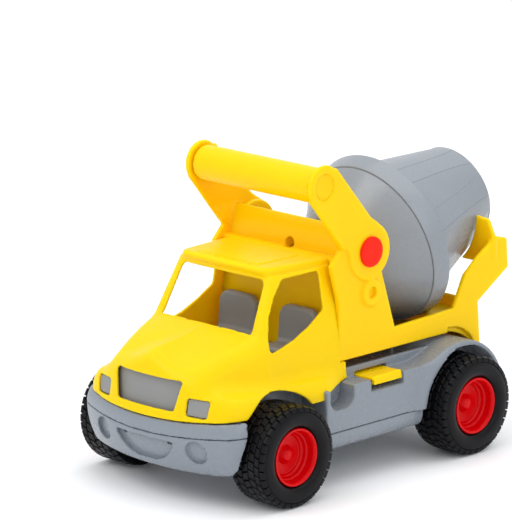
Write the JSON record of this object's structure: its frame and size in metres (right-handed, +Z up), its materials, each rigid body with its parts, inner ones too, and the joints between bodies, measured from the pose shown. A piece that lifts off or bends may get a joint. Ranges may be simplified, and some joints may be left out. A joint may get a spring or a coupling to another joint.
{
  "type": "toy cement mixer",
  "caption": "Push-along toy cement mixer: open cab, carrying handle over the roof, and a tapered drum that spins and tips up about two side pins.",
  "frame": {"origin": "middle of the bounding box in X and Y, on the ground under the tyres", "axes": "+X forward, +Y to the truck's left, +Z up"},
  "size_m": [0.3926, 0.218, 0.2715],
  "materials": {
    "yellow_body": "semi-gloss moulded",
    "grey_body": "semi-gloss moulded",
    "grey_panel": "fine satin",
    "grey_seat": "satin",
    "grey_drum": "semi-gloss moulded",
    "red_hub": "gloss",
    "red_pin": "satin",
    "tyre": "matt with tread",
    "steel": "bright drawn",
    "white_bush": "natural"
  },
  "bodies": {
    "truck": {"chassis_upper": "grey_body", "chassis_lower": "grey_body", "front_panel": "grey_panel", "cab_interior": "grey_seat", "cab_shell": "yellow_body", "cab_roof": "yellow_body", "mixer_frame": "yellow_body", "pivot_pin_left": "red_pin", "pivot_pin_right": "red_pin", "axle_bushes": "white_bush", "chassis_screws": "steel", "body_screws": "steel"},
    "front_wheelset": {"front_axle": "steel", "hub_front_left": "red_hub", "hub_front_right": "red_hub", "tyre_front_left": "tyre", "tyre_front_right": "tyre"},
    "rear_wheelset": {"rear_axle": "steel", "hub_rear_left": "red_hub", "hub_rear_right": "red_hub", "tyre_rear_left": "tyre", "tyre_rear_right": "tyre"},
    "cradle": {"drum_cradle": "yellow_body", "drum_spindle": "steel", "spindle_washer": "steel", "spindle_screw": "steel"},
    "drum": {"drum_bush": "white_bush", "drum_bowl": "grey_drum", "drum_cone": "grey_drum"},
    "left_latch": {"latch_left": "yellow_body"},
    "right_latch": {"latch_right": "yellow_body"}
  },
  "joints": [
    {"name": "front_axle_spin", "type": "hinge", "parent": "truck", "child": "front_wheelset", "pos_m": [0.12255, 0, 0.043], "axis": [0, 1, 0], "continuous": true},
    {"name": "rear_axle_spin", "type": "hinge", "parent": "truck", "child": "rear_wheelset", "pos_m": [-0.09745, 0, 0.043], "axis": [0, 1, 0], "continuous": true},
    {"name": "drum_tilt", "type": "hinge", "parent": "truck", "child": "cradle", "pos_m": [-0.00045, 0, 0.1894], "axis": [0, 1, 0], "range_deg": [0, 60]},
    {"name": "drum_spin", "type": "hinge", "parent": "cradle", "child": "drum", "pos_m": [-0.01065, 0, 0.1523], "axis": [-0.9646, 0, 0.2639], "continuous": true},
    {"name": "latch_left_lift", "type": "hinge", "parent": "truck", "child": "left_latch", "pos_m": [-0.00345, 0.06, 0.0848], "axis": [1, 0, 0], "range_deg": [0, 8], "stiffness_Nm_per_rad": 0.05},
    {"name": "latch_right_lift", "type": "hinge", "parent": "truck", "child": "right_latch", "pos_m": [-0.00345, -0.06, 0.0848], "axis": [-1, 0, 0], "range_deg": [0, 8], "stiffness_Nm_per_rad": 0.05}
  ]
}
